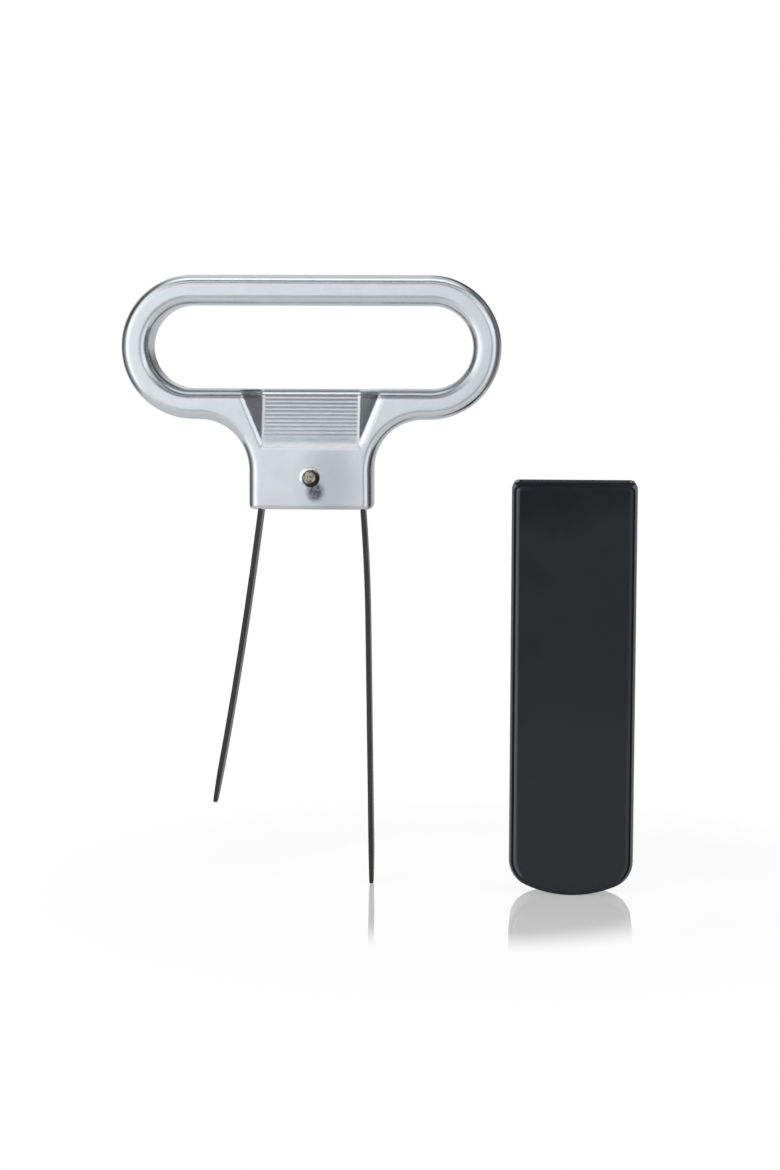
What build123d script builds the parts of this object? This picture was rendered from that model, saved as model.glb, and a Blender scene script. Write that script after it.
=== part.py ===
from build123d import *
from math import atan2, cos, radians, sin, tan
import os

# A two-prong cork puller: a cast finger loop on a short block, one bent strip of spring
# steel whose two legs are the prongs, the pin that carries the strip inside the block, and
# the moulded sheath for the prongs, which stands beside the puller.
# The origin is the middle of the block's underside, the stop face that comes down on the
# bottle. +Z runs up to the finger loop, the prongs hang along -Z, and the front faces -Y.

# Every cut that has to pass a face runs over it by this much
overrun = 5.0

# Handle: finger loop and block, one casting
handle_width = 79.4
handle_thickness = 12.0
loop_height = 30.0
loop_bar = 6.3
loop_end_bar = 5.9
loop_underside_height = 18.8
block_end_wall = 1.2
shoulder_gap = 1.2
handle_edge_radius = 2.2
foot_edge_radius = 0.9

# Thumb ramps: one sunk into the front of the block and one into the back
ramp_foot_height = 12.9
ramp_width = 20.1
ramp_depth = 4.2
ramp_flare_angle = 52
ramp_foot_radius = 0.4
ramp_edge_radius = 2.0
ramp_edge_share = 1.12
groove_count = 11
groove_pitch = 0.85
groove_width = 0.42
groove_depth = 0.3
groove_end_margin = 0.4
groove_top_margin = 1.5

# Pin through the block, with one end left proud of the front
pin_diameter = 3.2
pin_height = 6.7
pin_proud = 1.7
pin_back_recess = 0.3
pin_end_chamfer = 0.15
pin_crater_diameter = 1.2
pin_crater_depth = 0.2
pin_crater_angle = 40

# Prong strip: spring steel, bent over the pin. Lengths run down from the block's underside,
# reaches run out from the middle, and each leg bends gently about its knee.
strip_thickness = 1.0
strip_width = 6.5
strip_edge_radius = 0.15
strip_bend_radius = 2.0
strip_pin_clearance = 0.03
short_prong_length = 63.4
short_prong_reach = 10.7
short_prong_splay = 7.6
short_prong_tip_splay = 10.6
short_prong_knee_depth = 31.0
long_prong_length = 80.7
long_prong_reach = 10.8
long_prong_splay = 4.2
long_prong_tip_splay = 0.9
long_prong_knee_depth = 13.0
knee_span_share = 0.84
tip_radius = 2.2
tip_taper_length = 8.0
tip_bevel_length = 7.0
tip_bevel_depth = 0.15
tip_end_radius = 0.38

# Blind pocket in the block's underside, where the strip rocks on its pin
rock_angle = 2.5
rock_clearance = 0.2
strip_side_clearance = 0.3
pocket_corner_radius = 0.8
pocket_mouth_radius = 0.25

# Sheath: moulded cap for the prongs. It is as wide as the block and as deep as the handle,
# and it stands beside the handle, turned slightly.
sheath_tip_clearance = 4.7
sheath_wall = 1.5
sheath_end_radius = 23.0
sheath_corner_radius = 6.0
sheath_edge_radius = 1.1
sheath_top_radius = 1.3
sheath_mouth_radius = 0.15
sheath_gap = 2.5
sheath_forward = 4.0
sheath_yaw = -2.0

# Places that follow from the sizes above
handle_front = handle_thickness / 2
loop_centre_height = loop_underside_height + loop_height / 2
opening_width = handle_width - 2 * loop_end_bar
opening_height = loop_height - 2 * loop_bar
opening_floor_height = loop_underside_height + loop_bar
ramp_rise = opening_floor_height - ramp_foot_height
ramp_angle = atan2(ramp_depth, ramp_rise)
ramp_length = ramp_rise / cos(ramp_angle)
bridge_height = pin_height + pin_diameter / 2 + strip_pin_clearance + strip_thickness / 2
longer_reach = max(short_prong_reach, long_prong_reach) + strip_thickness / 2
rock_swing = pin_height * sin(radians(rock_angle))
rock_rise = longer_reach * sin(radians(rock_angle))
pocket_length = 2 * (longer_reach + rock_swing + rock_clearance)
pocket_width = strip_width + 2 * strip_side_clearance
pocket_height = bridge_height + strip_thickness / 2 + rock_rise + rock_clearance
block_width = pocket_length + 2 * block_end_wall
shoulder_radius = (handle_width - loop_height - block_width) / 2 - shoulder_gap
shoulder_climb = min(max(ramp_foot_height - loop_underside_height + shoulder_radius, 0), shoulder_radius)
shoulder_flare = shoulder_radius - (shoulder_radius**2 - shoulder_climb**2) ** 0.5
ramp_side_face = block_width / 2 + shoulder_flare - handle_edge_radius - ramp_width / 2
ramp_rim_radius = min(ramp_edge_radius, ramp_edge_share * ramp_side_face)
sheath_width = block_width
sheath_depth = handle_thickness
sheath_height = long_prong_length + sheath_tip_clearance + sheath_wall
sheath_offset = handle_width / 2 + sheath_gap + sheath_width / 2
floor_height = -long_prong_length

os.makedirs("parts", exist_ok=True)


# Handle: finger loop and block are one casting in one outline, with a slotted opening for
# the fingers. Its edges are rounded before anything is sunk into it.
with BuildPart() as handle:
    with BuildSketch(Plane.XZ):
        with Locations((0, loop_centre_height)):
            SlotOverall(handle_width, loop_height)
        Rectangle(block_width, loop_centre_height, align=(Align.CENTER, Align.MIN))
        underside_corners = vertices().group_by(Axis.Y)[1].sort_by(lambda corner: abs(corner.X))
        fillet(underside_corners[:2], shoulder_radius)
        with Locations((0, loop_centre_height)):
            SlotOverall(opening_width, opening_height, mode=Mode.SUBTRACT)
    extrude(amount=handle_front, both=True)
    outlines = faces().filter_by(Axis.Y).edges()
    fillet(outlines.filter_by(lambda edge: edge.center().Z > foot_edge_radius), handle_edge_radius)
    fillet(faces().filter_by(Axis.Z).sort_by(Axis.Z)[0].edges(), foot_edge_radius)

    # Each ramp slopes in from its foot to the floor of the opening, between two flared
    # sides. Its rim is rounded, by less where the face between it and the shoulder is narrow.
    ramp_rims = []
    for side in (-1, 1):
        ramp_foot = (0, side * handle_front, ramp_foot_height)
        ramp_normal = (0, side * cos(ramp_angle), sin(ramp_angle))
        with BuildSketch(Plane(origin=ramp_foot, x_dir=(-side, 0, 0), z_dir=ramp_normal)):
            Rectangle(ramp_width, ramp_length + overrun, align=(Align.CENTER, Align.MIN))
        extrude(amount=ramp_depth, taper=-ramp_flare_angle, mode=Mode.SUBTRACT)
        ramp_edges = edges(Select.LAST)
        top_edges = ramp_edges.filter_by(Axis.X).group_by(Axis.Z)[-1]
        ramp_rims += ramp_edges.filter_by(GeomType.BSPLINE).sort_by(Axis.X)
        ramp_rims += top_edges.sort_by(lambda edge: abs(edge.center().X))[:1]
    fillet(ramp_rims, ramp_rim_radius)

    # The foot of each ramp rolls into the face of the block
    roll_reach = ramp_foot_radius * tan(ramp_angle / 2)
    roll_height = ramp_foot_height + roll_reach * cos(ramp_angle)
    for side in (-1, 1):
        roll_corner = (side * handle_front, ramp_foot_height)
        roll_start = (side * handle_front, ramp_foot_height - roll_reach)
        roll_end = (side * (handle_front - roll_reach * sin(ramp_angle)), roll_height)
        with BuildSketch(Plane.YZ):
            with BuildLine():
                Polyline(roll_start, roll_corner, roll_end)
                RadiusArc(roll_start, roll_end, side * ramp_foot_radius)
            make_face()
        extrude(amount=ramp_width / 2, both=True, mode=Mode.SUBTRACT)

    # Grooves across the ramps, for grip
    for side in (-1, 1):
        ramp_top = (0, side * (handle_front - ramp_depth), opening_floor_height)
        down_the_ramp = (0, side * sin(ramp_angle), -cos(ramp_angle))
        with BuildSketch(Plane(origin=ramp_top, x_dir=down_the_ramp, z_dir=(1, 0, 0))):
            with Locations((groove_top_margin + groove_pitch * (groove_count - 1) / 2, 0)):
                with GridLocations(groove_pitch, groove_pitch, groove_count, 1):
                    Ellipse(groove_width / 2, groove_depth)
        extrude(amount=ramp_width / 2 - groove_end_margin, both=True, mode=Mode.SUBTRACT)

    # Blind pocket for the strip, and the hole for its pin
    with BuildSketch(Plane.XY):
        RectangleRounded(pocket_length, pocket_width, pocket_corner_radius)
    extrude(amount=pocket_height, mode=Mode.SUBTRACT)
    mouth_wire = faces().sort_by(Axis.Z)[0].inner_wires()[0]
    fillet(mouth_wire.edges(), pocket_mouth_radius)
    with BuildSketch(Plane.XZ):
        with Locations((0, pin_height)):
            Circle(pin_diameter / 2)
    extrude(amount=handle_front, both=True, mode=Mode.SUBTRACT)

handle.part.label = "handle"
export_step(handle.part, "parts/handle.step")


# Retaining pin: a cropped length of rod, pressed through the block. Its front end is
# slightly cratered where it was sheared off.
pin_front_end = Plane.XZ.offset(handle_front + pin_proud)

with BuildPart() as retaining_pin:
    with BuildSketch(pin_front_end):
        with Locations((0, pin_height)):
            Circle(pin_diameter / 2)
    extrude(amount=-(handle_thickness + pin_proud - pin_back_recess))
    chamfer(edges().filter_by(GeomType.CIRCLE), pin_end_chamfer)
    with BuildSketch(pin_front_end):
        with Locations((0, pin_height)):
            Circle(pin_crater_diameter / 2)
    extrude(amount=-pin_crater_depth, taper=pin_crater_angle, mode=Mode.SUBTRACT)

retaining_pin.part.label = "retaining_pin"
export_step(retaining_pin.part, "parts/retaining_pin.step")


# Prong strip: one piece of spring steel. It runs from the short prong's tip up into the
# block, over the pin and down again to the long prong's tip.
def leg_points(side, reach, splay, knee_depth, tip_splay, length):
    corner_reach = reach - bridge_height * tan(radians(splay))
    knee_reach = reach + knee_depth * tan(radians(splay))
    tip_reach = knee_reach + (length - knee_depth) * tan(radians(tip_splay))
    reaches_and_heights = (
        (corner_reach, bridge_height),
        (knee_reach, -knee_depth),
        (tip_reach, -length),
    )
    return [(side * out, height) for out, height in reaches_and_heights]


def knee_radius(splay, tip_splay, knee_depth, length):
    knee_span = knee_span_share * min(knee_depth, length - knee_depth)
    return knee_span / tan(abs(radians(splay - tip_splay)) / 2)


short_corner, short_knee, short_tip = leg_points(
    -1,
    short_prong_reach,
    short_prong_splay,
    short_prong_knee_depth,
    short_prong_tip_splay,
    short_prong_length,
)
long_corner, long_knee, long_tip = leg_points(
    1,
    long_prong_reach,
    long_prong_splay,
    long_prong_knee_depth,
    long_prong_tip_splay,
    long_prong_length,
)
short_knee_radius = knee_radius(
    short_prong_splay,
    short_prong_tip_splay,
    short_prong_knee_depth,
    short_prong_length,
)
long_knee_radius = knee_radius(
    long_prong_splay,
    long_prong_tip_splay,
    long_prong_knee_depth,
    long_prong_length,
)
bend_radii = (short_knee_radius, strip_bend_radius, strip_bend_radius, long_knee_radius)
tips = ((-1, short_tip, short_prong_tip_splay), (1, long_tip, long_prong_tip_splay))

with BuildPart() as prong_strip:
    with BuildSketch(Plane.XZ):
        with BuildLine():
            strip_points = (short_tip, short_knee, short_corner, long_corner, long_knee, long_tip)
            FilletPolyline(*strip_points, radius=bend_radii)
        trace(line_width=strip_thickness)
    extrude(amount=strip_width / 2, both=True)
    fillet(faces().filter_by(Axis.Y).edges(), strip_edge_radius)

    # Each tip is rounded across its width, bevelled on its outer face and blunted at its end
    for side, (tip_reach, tip_height), tip_splay in tips:
        with BuildSketch() as tip_outline:
            with Locations((0, tip_height + tip_radius)):
                Circle(tip_radius)
            with Locations((0, tip_height + tip_taper_length)):
                Rectangle(strip_width, strip_thickness, align=(Align.CENTER, Align.MIN))
            make_hull()
        with BuildSketch(Plane.YZ):
            with Locations((0, tip_height + tip_taper_length)):
                Rectangle(strip_width, tip_taper_length + overrun, align=(Align.CENTER, Align.MAX))
            add(tip_outline.sketch, mode=Mode.SUBTRACT)
        extrude(amount=side * handle_width / 2, mode=Mode.SUBTRACT)

        up_the_leg = (-side * sin(radians(tip_splay)), 0, cos(radians(tip_splay)))
        outer_face = strip_thickness / 2
        end_thickness = strip_thickness - tip_bevel_depth
        end_middle = -tip_bevel_depth / 2
        bevel_fall = tip_bevel_depth * (tip_bevel_length + strip_thickness) / tip_bevel_length
        with BuildSketch(Plane(origin=(tip_reach, 0, tip_height), x_dir=up_the_leg, z_dir=(0, side, 0))):
            Polygon(
                (-strip_thickness, outer_face - bevel_fall),
                (tip_bevel_length, outer_face),
                (-strip_thickness, outer_face + strip_thickness),
                align=None,
            )
            with Locations((0, end_middle)):
                Rectangle(2 * tip_end_radius, 2 * strip_thickness)
            with Locations((tip_bevel_length / 2, end_middle)):
                RectangleRounded(tip_bevel_length, end_thickness, tip_end_radius, mode=Mode.SUBTRACT)
        extrude(amount=strip_width / 2, both=True, mode=Mode.SUBTRACT)

prong_strip.part.label = "prong_strip"
export_step(prong_strip.part, "parts/prong_strip.step")


# Sheath: a flat moulded cap, open at the top and round at the bottom, standing beside the
# long prong on the level of its tip
sheath_turn = radians(sheath_yaw)
sheath_face = Plane(
    origin=(sheath_offset, -sheath_forward, floor_height),
    x_dir=(cos(sheath_turn), sin(sheath_turn), 0),
    z_dir=(sin(sheath_turn), -cos(sheath_turn), 0),
)


def sheath_outline(height):
    half_width = sheath_width / 2
    arc_rise = sheath_end_radius - (sheath_end_radius**2 - half_width**2) ** 0.5
    with BuildSketch() as outline:
        with BuildLine():
            left_foot, right_foot = (-half_width, arc_rise), (half_width, arc_rise)
            Polyline(left_foot, (-half_width, height), (half_width, height), right_foot)
            ThreePointArc(left_foot, (0, 0), right_foot)
        make_face()
        fillet(outline.vertices().group_by(Axis.Y)[0], sheath_corner_radius)
        fillet(outline.vertices().group_by(Axis.Y)[-1], sheath_top_radius)
    return outline.sketch


with BuildPart() as sheath:
    with BuildSketch(sheath_face):
        add(sheath_outline(sheath_height))
    extrude(amount=sheath_depth / 2, both=True)
    fillet(faces().sort_by(SortBy.AREA)[-2:].edges(), sheath_edge_radius)
    with BuildSketch(sheath_face):
        add(sheath_outline(sheath_height + overrun))
        offset(amount=-sheath_wall, mode=Mode.REPLACE)
    extrude(amount=sheath_depth / 2 - sheath_wall, both=True, mode=Mode.SUBTRACT)
    fillet(faces().filter_by(Axis.Z).sort_by(Axis.Z)[-1].inner_wires()[0].edges(), sheath_mouth_radius)

sheath.part.label = "sheath"
export_step(sheath.part, "parts/sheath.step")
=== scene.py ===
# A two-prong cork puller stands on its long prong, with its sheath pulled off and standing
# beside it, on a white table in front of a white background.
import math

import bmesh
import bpy
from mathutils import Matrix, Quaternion, Vector


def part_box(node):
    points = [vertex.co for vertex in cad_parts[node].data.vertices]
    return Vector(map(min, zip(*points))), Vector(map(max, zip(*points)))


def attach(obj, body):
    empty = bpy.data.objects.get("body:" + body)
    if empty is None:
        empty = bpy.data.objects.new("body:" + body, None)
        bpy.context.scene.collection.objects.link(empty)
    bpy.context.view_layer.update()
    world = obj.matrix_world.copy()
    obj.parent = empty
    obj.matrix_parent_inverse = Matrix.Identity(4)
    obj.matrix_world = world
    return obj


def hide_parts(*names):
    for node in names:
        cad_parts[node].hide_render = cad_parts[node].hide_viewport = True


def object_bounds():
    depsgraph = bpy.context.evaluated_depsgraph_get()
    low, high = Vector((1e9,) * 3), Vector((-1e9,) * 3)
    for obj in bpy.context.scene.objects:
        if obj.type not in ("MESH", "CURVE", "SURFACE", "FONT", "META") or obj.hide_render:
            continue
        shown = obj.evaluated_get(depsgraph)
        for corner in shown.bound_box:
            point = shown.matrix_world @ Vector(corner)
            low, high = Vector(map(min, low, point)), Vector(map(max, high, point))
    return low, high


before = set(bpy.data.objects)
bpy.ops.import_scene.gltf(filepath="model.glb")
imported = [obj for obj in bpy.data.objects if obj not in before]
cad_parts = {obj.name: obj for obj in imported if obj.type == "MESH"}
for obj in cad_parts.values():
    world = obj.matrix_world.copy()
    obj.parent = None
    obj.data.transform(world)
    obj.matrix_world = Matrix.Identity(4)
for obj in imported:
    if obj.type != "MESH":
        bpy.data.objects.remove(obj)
cad_low, cad_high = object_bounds()

# Camera: it looks slightly down at the front, from a little to the right of the middle.
# The focal length is in pixels of the photograph, which is 780 by 1170.
mm = 0.001
photo_height = 1170
focal_pixels = 2358
camera_target = Vector((16.5, 0, -16.3)) * mm
camera_distance = 500 * mm
camera_azimuth = math.radians(2.2)
camera_elevation = math.radians(5.85)
camera_roll = math.radians(0.18)

towards_camera = Vector(
    (
        math.sin(camera_azimuth) * math.cos(camera_elevation),
        -math.cos(camera_azimuth) * math.cos(camera_elevation),
        math.sin(camera_elevation),
    )
)
camera_data = bpy.data.cameras.new("camera")
camera_data.lens = camera_data.sensor_width * focal_pixels / photo_height
camera = bpy.data.objects.new("camera", camera_data)
camera.rotation_mode = "QUATERNION"
camera.rotation_quaternion = towards_camera.to_track_quat("Z", "Y") @ Quaternion((0, 0, 1), camera_roll)
camera.location = camera_target + towards_camera * camera_distance
bpy.context.scene.collection.objects.link(camera)
bpy.context.scene.camera = camera
bpy.context.scene.view_settings.view_transform = "Standard"

# Studio: what the metal and the gloss mirror. It is bright in front, most of all to the left,
# and has a lamp overhead, a dark stand on the left and a dark door behind on the right. The
# wall straight behind is the white background.
white_light = (1, 1, 1, 1)
daylight = (0.96, 0.98, 1, 1)
room_light = 0.8
upper_light_strength = 1.15
stand_darkness = 0.78
door_darkness = 0.85
card_softness = 4
full_turn = 360


class Wire:
    """A socket of a shader tree. A sum or product of wires adds Math nodes to the tree."""

    def __init__(self, tree, socket=None):
        self.tree = tree
        self.socket = socket

    def node(self, kind, inputs=None, output=0, stops=None, **settings):
        """Adds a node with these settings, ramp stops and socket values or links"""
        made = self.tree.nodes.new("ShaderNode" + kind)
        for name, value in settings.items():
            setattr(made, name, value)
        for index, (position, colour) in enumerate(stops or []):
            if index == len(made.color_ramp.elements):
                made.color_ramp.elements.new(position)
            made.color_ramp.elements[index].position = position
            made.color_ramp.elements[index].color = (*colour, 1)
        for name, value in (inputs or {}).items():
            if isinstance(value, Wire):
                self.tree.links.new(value.socket, made.inputs[name])
            else:
                made.inputs[name].default_value = value
        return Wire(self.tree, made.outputs[output] if made.outputs else None)

    def sibling(self, output):
        """Another output of the same node"""
        return Wire(self.tree, self.socket.node.outputs[output])

    def maths(self, operation, first, second=0.0):
        return self.node("Math", {0: first, 1: second}, operation=operation)

    def __add__(self, other):
        return self.maths("ADD", self, other)

    def __sub__(self, other):
        return self.maths("SUBTRACT", self, other)

    def __mul__(self, other):
        return self.maths("MULTIPLY", self, other)

    def __truediv__(self, other):
        return self.maths("DIVIDE", self, other)

    def __rsub__(self, other):
        return self.maths("SUBTRACT", other, self)

    __radd__ = __add__
    __rmul__ = __mul__

    def size(self):
        return self.maths("ABSOLUTE", self)

    def root(self):
        return self.maths("SQRT", self)

    def at_most(self, other):
        return self.maths("MINIMUM", self, other)

    def at_least(self, other):
        return self.maths("MAXIMUM", self, other)

    def ramp(self, start, end, at_start=0.0, at_end=1.0):
        """Runs smoothly from its value at start to that at end, and stays level on either side"""
        inputs = {
            "Value": self,
            "From Min": start,
            "From Max": end,
            "To Min": at_start,
            "To Max": at_end,
        }
        return self.node("MapRange", inputs, interpolation_type="SMOOTHSTEP")

    def between(self, start, full, fading, end):
        """Rises from 0 at start to 1 at full, and falls from 1 at fading to 0 at end"""
        return self.ramp(start, full) * self.ramp(end, fading)

    def mix(self, first, second):
        """Goes from one colour to the other as this wire goes from 0 to 1"""
        return self.node("Mix", {0: self, 6: first, 7: second}, output=2, data_type="RGBA")

    def noise(self, scale, detail):
        """A value from about 0.2 to 0.8 that changes over 1 / scale metres of this place"""
        return self.node("TexNoise", {"Vector": self, "Scale": scale, "Detail": detail})

    def bump(self, depth):
        """The normal of a surface that stands out by this wire times the depth"""
        return self.node("Bump", {"Height": self, "Distance": depth, "Strength": 1})


world = bpy.data.worlds.new("studio")
world.use_nodes = True
world.node_tree.nodes.clear()
bpy.context.scene.world = world
room = Wire(world.node_tree)
direction = room.node("TexCoord", output="Generated")
right = room.node("SeparateXYZ", {0: direction}, output="X")
back = right.sibling("Y")
up = right.sibling("Z")

# Degrees to the right of straight in front, and degrees over the floor
round_the_room = math.degrees(1) * right.maths("ARCTAN2", right, 0 - back)
over_the_floor = math.degrees(1) * up.maths("ARCSINE", up)


def brightness_along(angle, stops):
    """The room's brightness along a circle, given at so many degrees"""
    brightest = max(brightness for _, brightness in stops)
    shares = [(0.5 + degrees / full_turn, (brightness / brightest,) * 3) for degrees, brightness in stops]
    return brightest * room.node("ValToRGB", {0: angle / full_turn + 0.5}, stops=shares)


def card(start, end, low, high):
    """1 over a soft-edged card that hangs between these degrees"""
    soft = card_softness
    across = round_the_room.between(start - soft, start + soft, end - soft, end + soft)
    along = over_the_floor.between(low - soft, low + soft, high - soft, high + soft)
    return across * along


# Each pair is a place in degrees, from behind on the left round to behind on the right and
# then from the floor up to the ceiling, and the room's brightness there
walls = brightness_along(
    round_the_room,
    [
        (-178, 0.62),
        (-165, 0.8),
        (-152, 0.7),
        (-138, 0.45),
        (-118, 0.08),
        (-98, 0.12),
        (-72, 0.5),
        (-60, 1.0),
        (-50, 1.4),
        (-44, 1.55),
        (-38, 1.3),
        (-28, 1.08),
        (-18, 1.1),
        (-8, 1.02),
        (-4, 0.95),
        (0, 0.87),
        (5, 0.74),
        (11, 0.32),
        (18, 0.5),
        (28, 0.9),
        (38, 1.1),
        (48, 1.0),
        (58, 0.35),
        (70, 0.13),
        (95, 0.1),
        (112, 0.25),
        (130, 0.5),
        (170, 0.5),
        (178, 0.6),
    ],
)
floor_and_ceiling = brightness_along(
    over_the_floor,
    [
        (-88, 0.6),
        (-30, 0.54),
        (-12, 0.47),
        (-5, 0.7),
        (0, 0.9),
        (11, 0.9),
        (19, 0.7),
        (25, 0.06),
        (32, 0.6),
        (35, 1.2),
        (38, 0.95),
        (41, 0.3),
        (44, 0.05),
        (52, 0.05),
        (57, 0.8),
        (66, 1.7),
        (76, 1.2),
        (86, 0.5),
    ],
)

# The walls count more to the sides, and the floor and the ceiling more above and below. The
# 1 keeps the share from dividing by 0 straight in front.
height_squared = over_the_floor * over_the_floor
height_share = height_squared / (height_squared + round_the_room * round_the_room + 1)
brightness = walls * (1 - height_share) + floor_and_ceiling * height_share
upper_left_light = card(start=-70, end=-15, low=5, high=26)
upper_right_light = card(start=15, end=62, low=6, high=24)
upper_lights = upper_left_light.at_least(upper_right_light)
dark_stand = card(start=-104, end=-72, low=12, high=44)
dark_door = card(start=118, end=176, low=3, high=60)
backdrop = back.ramp(0.75, 0.92) * over_the_floor.ramp(6, 16)
brightness = brightness.at_least(upper_light_strength * upper_lights)
brightness = brightness * (1 - stand_darkness * dark_stand)
brightness = brightness.at_least(backdrop) * (1 - door_darkness * dark_door)

# Metal and gloss mirror the room, the rest is lit evenly, and the camera sees plain white
reflected = room.node("Background", {"Color": daylight, "Strength": brightness})
plain = room.node("Background", {"Color": white_light, "Strength": room_light})
white = room.node("Background", {"Color": white_light, "Strength": 1})
ray = room.node("LightPath", output="Is Camera Ray")
seen = ray + ray.sibling("Is Transmission Ray") + ray.sibling("Is Singular Ray")
lit = room.node("MixShader", {0: ray.sibling("Is Glossy Ray"), 1: plain, 2: reflected})
shown = room.node("MixShader", {0: seen.at_most(1), 1: lit, 2: white})
room.node("OutputWorld", {"Surface": shown})


def softbox(name, place, width, height, watts):
    """A lamp that shines at the puller from a place in metres, and isn't mirrored in it"""
    data = bpy.data.lights.new(name, "AREA")
    data.shape = "RECTANGLE"
    data.size = width
    data.size_y = height
    data.energy = watts
    lamp = bpy.data.objects.new(name, data)
    lamp.location = place
    lamp.rotation_mode = "QUATERNION"
    lamp.rotation_quaternion = Vector(place).to_track_quat("Z", "Y")
    lamp.visible_glossy = False
    bpy.context.scene.collection.objects.link(lamp)


softbox("left_lamp", place=(-0.55, -0.65, 0.45), width=0.5, height=0.5, watts=3.0)
softbox("right_lamp", place=(0.7, -0.45, 0.35), width=0.4, height=0.5, watts=1.2)

# Table: a white board, polished where the puller stands, so that it mirrors the feet of the
# long prong and the sheath faintly. Further out it is as white as the wall behind it.
table_size = 360 * mm
table_level = cad_low.z
feet = (35 * mm, 0, table_level)
mirror_strength = 1.69
mirror_radius = 39 * mm
mirror_edge = 58.5 * mm
shade_strength = 0.2
shade_radius = 60 * mm
shade_edge = 110 * mm
polish_index = 1.45
lit_laminate = (0.63, 0.63, 0.63, 1)
seen_laminate = (0.9, 0.9, 0.9, 1)


def new_material(name):
    material = bpy.data.materials.new(name)
    material.use_nodes = True
    material.node_tree.nodes.clear()
    return material, Wire(material.node_tree)


table_mesh = bpy.data.meshes.new("table")
shape = bmesh.new()
bmesh.ops.create_grid(shape, x_segments=1, y_segments=1, size=table_size / 2)
bmesh.ops.translate(shape, verts=shape.verts, vec=(0, 0, table_level))
shape.to_mesh(table_mesh)
shape.free()
table = bpy.data.objects.new("table", table_mesh)
bpy.context.scene.collection.objects.link(table)

table_board, wire = new_material("table_board")
place = wire.node("TexCoord", output="Object")
from_feet = wire.node("VectorMath", {0: place, 1: feet}, output=1, operation="DISTANCE")
gloss = mirror_strength * from_feet.ramp(mirror_edge, mirror_radius)
shade = shade_strength * from_feet.ramp(shade_edge, shade_radius)
glow = wire.node("Emission", {"Color": white_light, "Strength": 1})
polish = wire.node("BsdfGlossy", {"Color": white_light, "Roughness": 0})
camera_ray = wire.node("LightPath", output="Is Camera Ray")
laminate = camera_ray.mix(lit_laminate, seen_laminate)
board = wire.node("BsdfDiffuse", {"Color": laminate})
white_board = wire.node("MixShader", {0: (1 - shade) * camera_ray, 1: board, 2: glow})
grazing = wire.node("Fresnel", {"IOR": polish_index})
surface = wire.node("MixShader", {0: gloss * grazing * camera_ray, 1: white_board, 2: polish})
wire.node("OutputMaterial", {"Surface": surface})
table_mesh.materials.append(table_board)

# Handle: finger loop and block, one zinc casting, tumbled and plated in satin chrome. The
# plate lies over a skin that is faintly uneven, as a casting's is.
sharp_angle = math.radians(35)
merge_distance = 0.001 * mm


def smooth_copy(node, name, body):
    """A merged copy of a solid, smooth but for its real corners, that stands for its node"""
    mesh = bpy.data.meshes.new(name)
    shape = bmesh.new()
    shape.from_mesh(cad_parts[node].data)
    bmesh.ops.remove_doubles(shape, verts=shape.verts, dist=merge_distance)
    for face in shape.faces:
        face.smooth = True
        face.material_index = 0
    for edge in shape.edges:
        edge.smooth = edge.calc_face_angle(math.pi) < sharp_angle
    shape.to_mesh(mesh)
    shape.free()
    piece = bpy.data.objects.new(name, mesh)
    bpy.context.scene.collection.objects.link(piece)
    weights = piece.modifiers.new("weighted_normals", "WEIGHTED_NORMAL")
    weights.keep_sharp = True
    weights.mode = "FACE_AREA"
    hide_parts(node)
    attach(piece, body)
    return piece


def places_on(wire):
    """The place on a piece as one vector, and to the right, back and up in millimetres.
    The sizes of what shows on the pieces' surfaces are plain millimetres too.
    """
    place = wire.node("TexCoord", output="Object")
    spot = wire.node("SeparateXYZ", {0: place}, output="X")
    return place, spot / mm, spot.sibling("Y") / mm, spot.sibling("Z") / mm


def distance(aside, above, half_width=1.0, half_height=1.0):
    """Distance from the middle of an ellipse, in units of its half sizes"""
    aside = aside / half_width
    above = above / half_height
    return (aside * aside + above * above).root()


def paint(piece, material, wire, inputs):
    """Gives a piece the material, whose shader gets these inputs"""
    shader = wire.node("BsdfPrincipled", inputs)
    wire.node("OutputMaterial", {"Surface": shader})
    piece.data.materials.append(material)


chrome_plate = (0.745, 0.785, 0.81, 1)
paler_plate = (0.775, 0.81, 0.83, 1)
block_shade_plate = (0.52, 0.57, 0.61, 1)
painted_highlight_plate = (0.95, 0.965, 0.98, 1)
opening_shade_plate = (0.1, 0.115, 0.13, 1)
pin_shadow_plate = (0.07, 0.085, 0.1, 1)
pin_glint_colour = (0.98, 0.99, 1, 1)
ramp_shade_colour = (0.12, 0.14, 0.17, 1)
pin_gap_shade_colour = (0.03, 0.03, 0.03, 1)

handle = smooth_copy("handle", "cast_handle", "puller")
satin_chrome, wire = new_material("satin_chrome")
place, across, back, height = places_on(wire)
forward = 0 - back
skin = place.noise(scale=180, detail=3)
grain = place.noise(scale=4200, detail=2)
brushed = wire.node("Mapping", {"Vector": place, "Scale": (0.08, 1, 1)})
scratches = brushed.noise(scale=7000, detail=2)
tint = skin.ramp(0.35, 0.65).mix(chrome_plate, paler_plate)

# Painted shade: the plate is painted darker to the right of the pin
block_shade_across = 4.2
block_shade_height = 6
from_block_shade = distance(across - block_shade_across, height - block_shade_height, half_width=8, half_height=14)
tint = (0.8 * from_block_shade.ramp(1.05, 0.15)).mix(tint, block_shade_plate)
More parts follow.
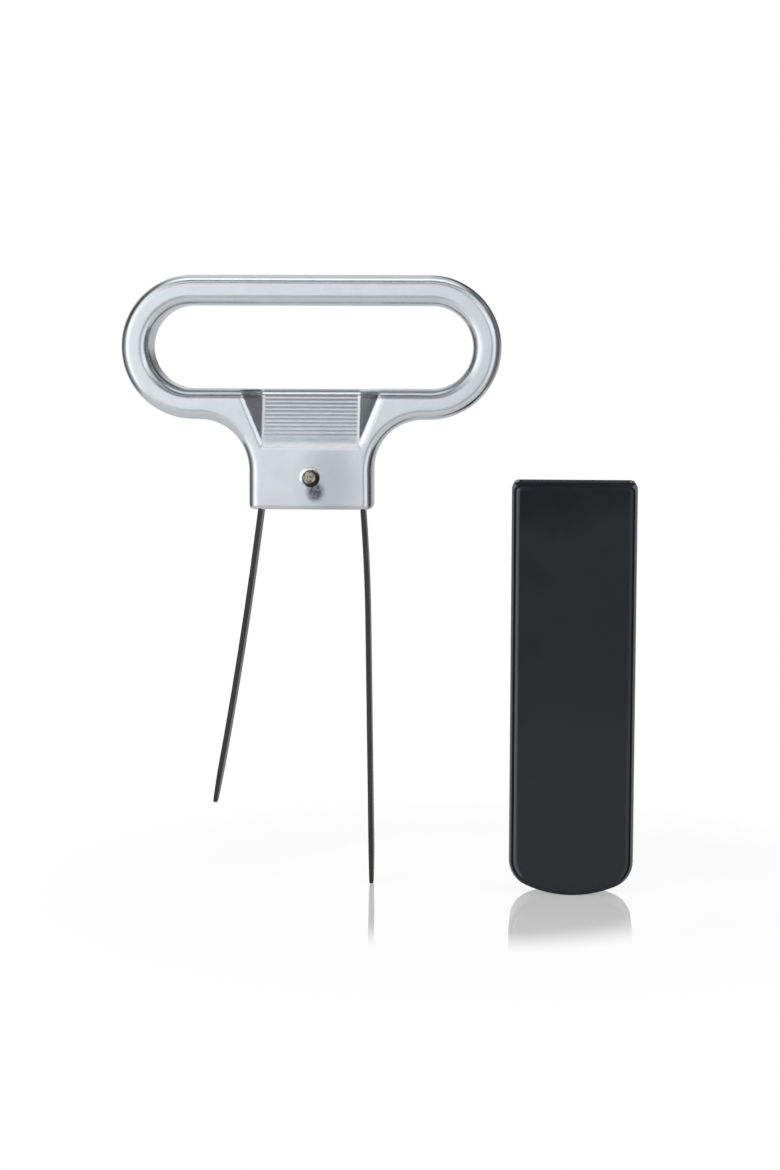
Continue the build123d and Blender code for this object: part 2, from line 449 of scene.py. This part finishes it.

# Painted shade in the grooves of the ramps, front and back, deepest near the top, and faintly in a band
# below the grooves
handle_low, handle_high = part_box("handle")
half_depth = -handle_low.y / mm
ramp_foot = 12.9
ramp_top = 25.1
ramp_depth = 4.2
ramp_side = 10.05
ramp_tilt = math.atan2(ramp_depth, ramp_top - ramp_foot)
above_foot = height - ramp_foot
below_top = ramp_top - height
from_middle = across.size()
into_grooves = (half_depth - ramp_depth - forward.size()) * math.cos(ramp_tilt)
into_grooves = into_grooves + below_top * math.sin(ramp_tilt)
on_ramp = above_foot.ramp(0.1, 0.7) * below_top.ramp(0.15, 0.5)
on_ramp = on_ramp * from_middle.ramp(ramp_side - 0.15, ramp_side - 0.45)
groove_shade = on_ramp * into_grooves.ramp(0.04, 0.24)
tint = (groove_shade * height.ramp(14, 25, at_end=0.36)).mix(tint, ramp_shade_colour)
below_grooves = above_foot.between(0.3, 1.3, 2.0, 2.7)
below_grooves = below_grooves * from_middle.ramp(ramp_side - 0.15, ramp_side - 0.75)
tint = (0.2 * below_grooves).mix(tint, ramp_shade_colour)

# Painted highlight: the foot of the front ramp, and the face along its right rim, are painted paler
rim_slope = 0.416
near_front = forward.ramp(half_depth - 1, half_depth - 0.5)
foot = above_foot.between(-0.7, 0.1, 0.5, 1.7) * from_middle.ramp(ramp_side + 0.55, ramp_side - 0.45)
past_rim = across - ramp_side - rim_slope * above_foot
right_rim = above_foot.between(0.5, 1.5, 10.7, 11.7) * past_rim.between(-0.2, 0.3, 1.0, 1.5)
tint = (near_front * (0.85 * foot + 0.8 * right_rim)).mix(tint, painted_highlight_plate)

# Painted shade: the plate is painted darker round the rims of the floor of the finger opening,
# and on the lips of the ramps
loop_height = 30
opening_radius = 8.7
opening_straight = 25.1
edge_radius = 2.2
opening_level = handle_high.z / mm - loop_height / 2
below_opening = (opening_level - height).at_least(0)
past_straight = (from_middle - opening_straight).at_least(0)
from_opening = distance(past_straight, below_opening)
into_rim = from_opening - opening_radius
rim_of_floor = into_rim.ramp(edge_radius, edge_radius - 0.5) * into_rim.ramp(0.1, 0.6, at_start=0.4)
rim_of_floor = rim_of_floor * forward.size().ramp(2.4, 3.6)
facing_up = (below_opening / from_opening.at_least(1)).ramp(0.3, 0.85)
lip_of_ramp = below_top.between(-0.9, -0.4, 0.2, 0.9) * from_middle.ramp(ramp_side + 0.15, ramp_side - 0.25)
lip_of_ramp = lip_of_ramp * forward.size().ramp(0.6, 1.6)
tint = (0.45 * (facing_up * rim_of_floor + lip_of_ramp)).mix(tint, opening_shade_plate)

# A mottled, painted shadow of the pin falls below it and to the right, and a ring of painted shade lies
# round it on the lower right. On the upper left is a painted highlight of light off the pin, over a small
# raised ring that the bump makes
pin_low, pin_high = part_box("retaining_pin")
pin_level = (pin_low.z + pin_high.z) / 2 / mm
pin_radius = 1.6
pin_shadow_aside = 1
pin_shadow_drop = 2.9
above_pin = height - pin_level
front_face = forward.ramp(half_depth - 0.6, half_depth - 0.1)
mottle = place.noise(scale=1500, detail=3).ramp(0.35, 0.6, at_start=0.7)
# Painted shadow of the pin, below it and a little to the right
from_pin_shadow = distance(across - pin_shadow_aside, above_pin + pin_shadow_drop, half_width=2.2, half_height=2.5)
pin_shadow = front_face * mottle * from_pin_shadow.ramp(1.1, 0.4)
tint = (0.95 * pin_shadow).mix(tint, pin_shadow_plate)
from_pin = distance(across, above_pin) - pin_radius
to_upper_left = above_pin - across
# Painted shade in the gap round the pin, on its lower right
pin_gap_shade = front_face * to_upper_left.ramp(0.4, -1.2) * from_pin.ramp(0.5, 0.25)
tint = pin_gap_shade.mix(tint, pin_gap_shade_colour)
# Painted highlight on the upper left of the pin; the same mask also raises a small bump
glint_and_burr = front_face * to_upper_left.ramp(0, 1.4) * from_pin.ramp(0.8, 0.15)
tint = glint_and_burr.ramp(0.1, 0.5).mix(tint, pin_glint_colour)
paint(
    handle,
    satin_chrome,
    wire,
    {
        "Base Color": tint,
        "Metallic": 1,
        "Roughness": scratches.ramp(0.3, 0.7, at_start=0.17, at_end=0.23) + 0.1 * groove_shade,
        "Normal": (skin * 0.03 + grain * 0.0012 + scratches * 0.0008 + glint_and_burr * 0.14).bump(1 * mm),
    },
)

# Pin: a cropped length of nickel-plated rod, pressed through the block. Its sheared end is
# rough and has a small crater, and its rim is painted dark, as painted shade.
torn_nickel = (0.19, 0.175, 0.14, 1)
clean_nickel = (0.56, 0.53, 0.45, 1)
pin_rim_shade_colour = (0.02, 0.02, 0.018, 1)
shear_offset = 0.14

pin = smooth_copy("retaining_pin", "cropped_pin", "puller")
sheared_nickel, wire = new_material("sheared_nickel")
place, across, _, height = places_on(wire)
tear = place.noise(scale=1600, detail=3)
tint = tear.ramp(0.35, 0.65).mix(torn_nickel, clean_nickel)
# Painted shade darkens the rim of the pin's end
rim = distance(across + shear_offset, height - pin_level - shear_offset).ramp(1.15, 1.4)
tint = (0.95 * rim).mix(tint, pin_rim_shade_colour)
paint(
    pin,
    sheared_nickel,
    wire,
    {"Base Color": tint, "Metallic": 1, "Roughness": 0.4, "Normal": tear.bump(0.1 * mm)},
)

# Prong strip: tempered spring steel with a dark satin skin, brushed along its length, which
# hangs over the pin in the block. The long prong's tip has lost its skin to corks and glass,
# and has turned brownish.
dark_skin = (0.058, 0.058, 0.059, 1)
brushed_skin = (0.08, 0.08, 0.081, 1)
brownish_steel = (0.085, 0.078, 0.062, 1)
wear_starts = -72
worn_through = -76

prongs = smooth_copy("prong_strip", "bent_prongs", "prongs")
spring_steel, wire = new_material("spring_steel")
place, _, _, height = places_on(wire)
stretched = wire.node("Mapping", {"Vector": place, "Scale": (1, 1, 0.05)})
brushing = stretched.noise(scale=5000, detail=2)
wear = place.noise(scale=700, detail=3)
tint = brushing.ramp(0.3, 0.7).mix(dark_skin, brushed_skin)
worn_tip = height.ramp(wear_starts, worn_through) * wear.ramp(0.3, 0.6)
tint = worn_tip.mix(tint, brownish_steel)
paint(
    prongs,
    spring_steel,
    wire,
    {
        "Base Color": tint,
        "Metallic": 1,
        "Roughness": brushing.ramp(0.3, 0.7, at_start=0.3, at_end=0.42),
        "Normal": brushing.bump(0.01 * mm),
    },
)

# Sheath: a moulded cap of black plastic, satin outside, hollow, open at the top, that pulls
# off the prongs. Its colour is painted lighter towards its closed end and its right side, as painted light.
shaded_plastic = (0.001, 0.0035, 0.006, 1)
handled_and_lit_plastic = (0.011, 0.0145, 0.0175, 1)
lit_plastic = (0.0225, 0.0235, 0.029, 1)
inner_highlight_colour = (0.095, 0.1, 0.11, 1)
outer_highlight_colour = (0.12, 0.125, 0.135, 1)
dark_band_colour = (0.001, 0.0012, 0.0015, 1)
mouth_highlight_colour = (0.06, 0.064, 0.07, 1)

sheath = smooth_copy("sheath", "moulded_sheath", "cap")
black_plastic, wire = new_material("black_plastic")
place, across, back, height = places_on(wire)
handling = place.noise(scale=90, detail=4)
grain = place.noise(scale=3000, detail=2)
# Painted light: lighter towards the closed end and the right side, with random handling marks
below_mouth = height.ramp(6, -12, at_end=0.9)
to_right_side = across.ramp(42, 68, at_end=0.4)
lit_and_handled = below_mouth + to_right_side + handling.ramp(0.3, 0.7, at_start=-0.3, at_end=0.3)
tint = lit_and_handled.mix(shaded_plastic, handled_and_lit_plastic)
tint = height.ramp(-20, -80).mix(tint, lit_plastic)

# Its own directions: it stands turned a little, with its middle aside of the puller's
sheath_low, sheath_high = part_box("sheath")
sheath_middle = (sheath_low + sheath_high) / 2 / mm
sheath_top = sheath_high.z / mm
sheath_turn = math.radians(-2)
to_right = across - sheath_middle.x
to_back = back - sheath_middle.y
aside = to_right * math.cos(sheath_turn) + to_back * math.sin(sheath_turn)
behind = to_back * math.cos(sheath_turn) - to_right * math.sin(sheath_turn)

# How far a point of a broad face lies from the face's outline, which is rounded where the
# sides meet the top and the closed end
half_width = 12.99
top_rounding = 2
end_rounding = 6
end_rounding_level = -73.2
into_side = (aside.size() - (half_width - top_rounding)).at_least(0)
into_top = (height - (sheath_top - top_rounding)).at_least(0)
into_corner = (aside.size() - (half_width - end_rounding)).at_least(0)
into_end = (end_rounding_level - height).at_least(0)
from_top_outline = top_rounding - distance(into_side, into_top)
from_end_outline = end_rounding - distance(into_corner, into_end)
from_outline = from_top_outline.at_most(from_end_outline)

# Painted highlights: the corners between its broad faces and its sides and top are painted pale in two
# lines, with a painted dark band of reflection between them
along_top = (into_top - into_side).ramp(0, 0.6)
along_end = (into_end - into_corner).ramp(-1.5, 1.5)
near_face = behind.size().ramp(4.6, 5.0)
on_sides = near_face * (1 - along_end)
inner_highlight = from_outline.between(0.85, 1.1, 1.15, 1.85)
inner_highlight = inner_highlight * aside.ramp(-11.5, -8, at_start=1, at_end=0.2) * (1 - 0.85 * along_top)
outer_highlight = (from_outline - aside.ramp(-5, 5, at_end=0.25)).ramp(0.65, 0.25) * (1 - 0.95 * along_top)
painted_dark_band = on_sides * from_outline.between(0.4, 0.65, 0.85, 1.1) * (1 - along_top)
tint = (on_sides * inner_highlight).mix(tint, inner_highlight_colour)
tint = (on_sides * outer_highlight).mix(tint, outer_highlight_colour)
tint = painted_dark_band.mix(tint, dark_band_colour)

# The back of the mouth is painted paler, as a painted highlight, and its front is made rougher, so duller
at_mouth = height.ramp(sheath_top - 0.8, sheath_top - 0.4)
back_of_mouth = at_mouth * behind.ramp(3.8, 4.2)
front_of_mouth = at_mouth * behind.ramp(-4.2, -4.6)
tint = back_of_mouth.mix(tint, mouth_highlight_colour)
satin = handling.ramp(0.35, 0.65, at_start=0.26, at_end=0.36)
paint(
    sheath,
    black_plastic,
    wire,
    {
        "Base Color": tint,
        "Roughness": satin + 0.4 * painted_dark_band + 0.6 * front_of_mouth,
        "Specular IOR Level": 0.22,
        "Normal": (grain * 0.003 + handling * 0.02).bump(1 * mm),
    },
)
